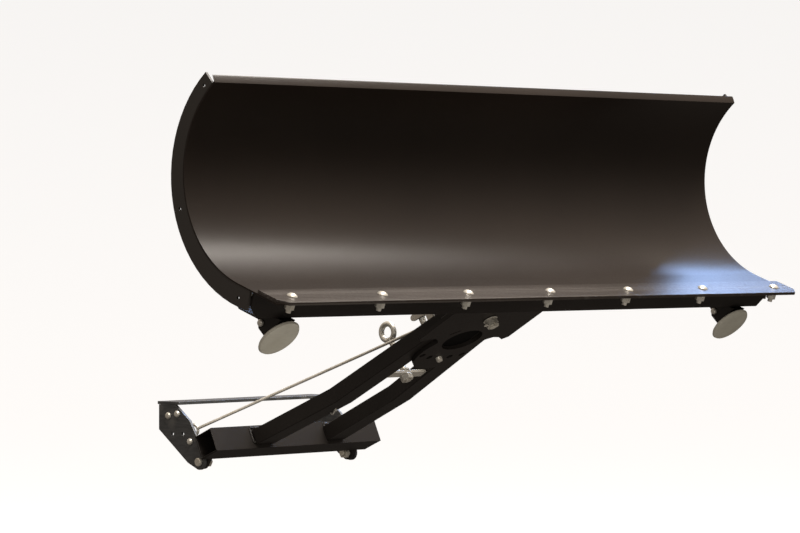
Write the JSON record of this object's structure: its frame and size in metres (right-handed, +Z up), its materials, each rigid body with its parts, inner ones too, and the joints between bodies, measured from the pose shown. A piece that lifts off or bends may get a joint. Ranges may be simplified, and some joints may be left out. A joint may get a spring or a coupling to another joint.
{
  "type": "atv plow blade",
  "caption": "Curved snow plow blade for a quad, on a swivelling sprung head and a hinged push frame with skid shoes and a vehicle mount bracket.",
  "frame": {"origin": "centre of the bolting face on top of the vehicle mount bracket", "axes": "+Z up, -Y towards the front of the blade, +Y towards the vehicle, X across the blade; rest is the raised travel position"},
  "size_m": [1.5, 0.8601, 0.7492],
  "materials": {
    "black_paint": "semi-matt black powder coat",
    "zinc_plate": "bright zinc plating",
    "shoe_plate": "dull zinc, lightly scuffed",
    "bracket_steel": "dark grey satin steel",
    "spring_steel": "oiled spring steel"
  },
  "bodies": {
    "mount_bracket": {"mount_top_plate": "bracket_steel", "mount_side_plate_left": "bracket_steel", "mount_side_plate_right": "bracket_steel", "lift_bolt_left": "zinc_plate", "lift_bolt_right": "zinc_plate", "lift_nut_left": "zinc_plate", "lift_nut_right": "zinc_plate", "bracket_bolt_left_1": "zinc_plate", "bracket_bolt_left_2": "zinc_plate", "bracket_bolt_left_3": "zinc_plate", "bracket_bolt_right_1": "zinc_plate", "bracket_bolt_right_2": "zinc_plate", "bracket_bolt_right_3": "zinc_plate"},
    "push_frame": {"push_arm_left": "black_paint", "push_arm_right": "black_paint", "cross_tube": "black_paint", "pivot_ear_left": "black_paint", "pivot_ear_right": "black_paint", "head_plate": "black_paint", "cross_plate": "zinc_plate", "swivel_bolt": "zinc_plate", "swivel_washer": "zinc_plate", "swivel_nut": "zinc_plate", "lock_pin_housing": "black_paint", "lock_pin_spring": "spring_steel", "lever_bracket": "black_paint", "lever_pin": "zinc_plate", "lifting_eye": "zinc_plate", "lifting_eye_nut": "zinc_plate"},
    "lock_pin": {"lock_pin": "zinc_plate"},
    "release_lever": {"release_lever": "zinc_plate"},
    "release_rod": {"release_rod": "zinc_plate"},
    "swivel": {"sector_plate": "black_paint", "yoke_cheek_left": "black_paint", "yoke_cheek_right": "black_paint", "trip_hinge_pin": "zinc_plate", "spring_anchor_bolt": "zinc_plate", "trip_spring_left": "spring_steel", "trip_spring_right": "spring_steel"},
    "blade": {"moldboard": "black_paint", "cutting_edge": "black_paint", "end_rib_left": "black_paint", "end_rib_right": "black_paint", "centre_rib_left": "black_paint", "centre_rib_right": "black_paint", "bottom_beam": "black_paint", "spring_bar": "zinc_plate", "shoe_socket_left": "black_paint", "shoe_socket_right": "black_paint", "shoe_clamp_left": "zinc_plate", "shoe_clamp_right": "zinc_plate", "edge_bolt_1": "zinc_plate", "edge_bolt_2": "zinc_plate", "edge_bolt_3": "zinc_plate", "edge_bolt_4": "zinc_plate", "edge_bolt_5": "zinc_plate", "edge_bolt_6": "zinc_plate", "edge_bolt_7": "zinc_plate"},
    "skid_shoe_left": {"skid_shoe_left": "shoe_plate"},
    "skid_shoe_right": {"skid_shoe_right": "shoe_plate"}
  },
  "joints": [
    {"name": "lift_hinge", "type": "hinge", "parent": "mount_bracket", "child": "push_frame", "pos_m": [0, -0.087, -0.1163], "axis": [1, 0, 0], "range_deg": [-3, 44]},
    {"name": "swivel_hinge", "type": "hinge", "parent": "push_frame", "child": "swivel", "pos_m": [0, -0.648, 0.1762], "axis": [0, 0.5, 0.866], "range_deg": [-33, 33]},
    {"name": "trip_hinge", "type": "hinge", "parent": "swivel", "child": "blade", "pos_m": [0, -0.66401, 0.22367], "axis": [1, 0, 0], "range_deg": [0, 30], "stiffness_Nm_per_rad": 90, "springref_deg": -28.65, "deforming": ["trip_spring_left", "trip_spring_right"]},
    {"name": "release_lever_hinge", "type": "hinge", "parent": "push_frame", "child": "release_lever", "pos_m": [0, -0.51101, 0.18948], "axis": [1, 0, 0], "range_deg": [0, 28], "stiffness_Nm_per_rad": 3, "springref_deg": -17.19},
    {"name": "lock_pin_slide", "type": "slide", "parent": "push_frame", "child": "lock_pin", "axis": [0, 0.5, 0.866], "range_m": [0, 0.0205], "deforming": ["lock_pin_spring"]},
    {"name": "release_rod_slide", "type": "slide", "parent": "push_frame", "child": "release_rod", "axis": [-0.2967, 0.8719, -0.3896], "range_m": [0, 0.018]},
    {"name": "shoe_slide_left", "type": "slide", "parent": "blade", "child": "skid_shoe_left", "axis": [0, -0.6947, -0.7193], "range_m": [0, 0.03]},
    {"name": "shoe_slide_right", "type": "slide", "parent": "blade", "child": "skid_shoe_right", "axis": [0, -0.6947, -0.7193], "range_m": [0, 0.03]}
  ],
  "couplings": [
    {"joint": "lock_pin_slide", "follows": "release_lever_hinge", "m_per_rad": 0.04},
    {"joint": "release_rod_slide", "follows": "release_lever_hinge", "m_per_rad": 0.0354}
  ]
}
